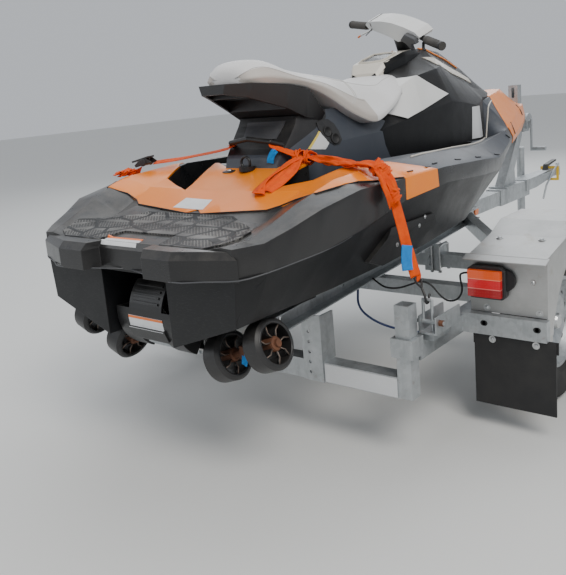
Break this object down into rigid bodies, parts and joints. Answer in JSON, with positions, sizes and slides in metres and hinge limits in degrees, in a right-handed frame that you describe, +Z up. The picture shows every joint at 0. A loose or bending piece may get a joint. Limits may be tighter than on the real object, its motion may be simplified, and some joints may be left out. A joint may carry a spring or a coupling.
{
  "type": "personal watercraft on its boat trailer",
  "caption": "Black and orange jet-driven personal watercraft with a light grey seat, strapped on a galvanised single-axle trailer.",
  "frame": {"origin": "middle of the overall box, on the ground", "axes": "+Y to the bow and the coupling, +X to starboard, +Z up"},
  "size_m": [1.978, 3.75, 1.5117],
  "materials": {
    "hull_black": "moulded satin black, scuffed",
    "deck_black": "moulded satin black",
    "panel_orange": "moulded bright orange",
    "pedestal_slate": "moulded slate grey",
    "seat_vinyl": "light grey sewn vinyl",
    "knee_white": "white moulded",
    "mat_rubber": "textured tread",
    "rubber": "plain",
    "tyre_rubber": "dusty",
    "galvanised": "hot-dip galvanised, mottled",
    "guard_alloy": "worn sheet",
    "lamp_red": "red lens with an orange top",
    "plate_white": "bare plate",
    "lock_yellow": "yellow painted steel",
    "pump_alloy": "black painted casting",
    "steel_bright": "bright steel",
    "webbing": "woven orange-red webbing",
    "cable_black": "cable sheath",
    "hose_blue": "blue sheath"
  },
  "bodies": {
    "craft_on_trailer": {"axle": "galvanised", "beam_brackets": "galvanised", "bow_panel": "panel_orange", "bow_stop": "rubber", "brake_hose": "hose_blue", "bunk_beams": "galvanised", "bunk_pads": "rubber", "coupling": "galvanised", "coupling_lock": "lock_yellow", "cross_tube": "galvanised", "dash": "deck_black", "deck": "deck_black", "deck_handle": "hull_black", "drawbar": "galvanised", "fairing": "deck_black", "gate_pins": "steel_bright", "guard_bars": "galvanised", "hull": "hull_black", "intake_grate": "pump_alloy", "jockey_stem": "galvanised", "jockey_tube": "galvanised", "knee_panels": "knee_white", "lamp_cable": "cable_black", "lamps": "lamp_red", "mud_flaps": "rubber", "mudguards": "guard_alloy", "pedestal": "pedestal_slate", "plate_holder": "plate_white", "pump_housing": "pump_alloy", "rear_frame": "galvanised", "rear_panel": "panel_orange", "ride_plate": "pump_alloy", "roller_carriers": "galvanised", "seat": "seat_vinyl", "seat_carrier": "hull_black", "side_panels": "panel_orange", "side_rails": "galvanised", "sponsons": "hull_black", "spread_arms": "galvanised", "stern_bumper": "hull_black", "strap_brackets": "galvanised", "tie_straps": "webbing", "tread_mats": "mat_rubber", "winch": "galvanised", "winch_post": "galvanised"},
    "steering": {"steering_column": "hull_black", "handlebar": "hull_black", "grips": "rubber", "bar_pad": "knee_white"},
    "nozzle": {"steering_nozzle": "pump_alloy"},
    "gate": {"reverse_gate": "hull_black"},
    "impeller_set": {"impeller": "steel_bright"},
    "wheel_right": {"tyre_right": "tyre_rubber", "rim_right": "galvanised"},
    "wheel_left": {"tyre_left": "tyre_rubber", "rim_left": "galvanised"},
    "roller_set_right": {"rollers_right": "rubber"},
    "roller_set_left": {"rollers_left": "rubber"},
    "jockey_swivel": {"jockey_fork": "galvanised"},
    "jockey_roll": {"jockey_wheel": "rubber"}
  },
  "joints": [
    {"name": "steering_turn", "type": "hinge", "parent": "craft_on_trailer", "child": "steering", "pos_m": [0, -0.083, 1.318], "axis": [0, -0.4848, 0.8746], "range_deg": [-2, 58]},
    {"name": "nozzle_steer", "type": "hinge", "parent": "craft_on_trailer", "child": "nozzle", "pos_m": [0, -1.635, 0.545], "axis": [0, 0, 1], "range_deg": [-35.5, 1.5]},
    {"name": "reverse_gate_lift", "type": "hinge", "parent": "craft_on_trailer", "child": "gate", "pos_m": [0, -1.635, 0.545], "axis": [1, 0, 0], "range_deg": [-78, 8]},
    {"name": "impeller_spin", "type": "hinge", "parent": "craft_on_trailer", "child": "impeller_set", "pos_m": [0, -1.513, 0.545], "axis": [0, 1, 0], "continuous": true},
    {"name": "wheel_right_spin", "type": "hinge", "parent": "craft_on_trailer", "child": "wheel_right", "pos_m": [0.815, -0.573, 0.289], "axis": [1, 0, 0], "continuous": true},
    {"name": "wheel_left_spin", "type": "hinge", "parent": "craft_on_trailer", "child": "wheel_left", "pos_m": [-0.815, -0.573, 0.289], "axis": [1, 0, 0], "continuous": true},
    {"name": "rollers_right_spin", "type": "hinge", "parent": "craft_on_trailer", "child": "roller_set_right", "pos_m": [0.32, -1.663, 0.45235], "axis": [0.9405, 0, 0.3398], "continuous": true},
    {"name": "rollers_left_spin", "type": "hinge", "parent": "craft_on_trailer", "child": "roller_set_left", "pos_m": [-0.32, -1.663, 0.45235], "axis": [0.9405, 0, -0.3398], "continuous": true},
    {"name": "jockey_swivel_turn", "type": "hinge", "parent": "craft_on_trailer", "child": "jockey_swivel", "pos_m": [-0.088, 1.467, 0.24], "axis": [0, 0, 1], "continuous": true},
    {"name": "jockey_wheel_spin", "type": "hinge", "parent": "jockey_swivel", "child": "jockey_roll", "pos_m": [-0.088, 1.427, 0.1], "axis": [1, 0, 0], "continuous": true}
  ],
  "couplings": [
    {"joint": "nozzle_steer", "follows": "steering_turn", "ratio": -0.607}
  ]
}
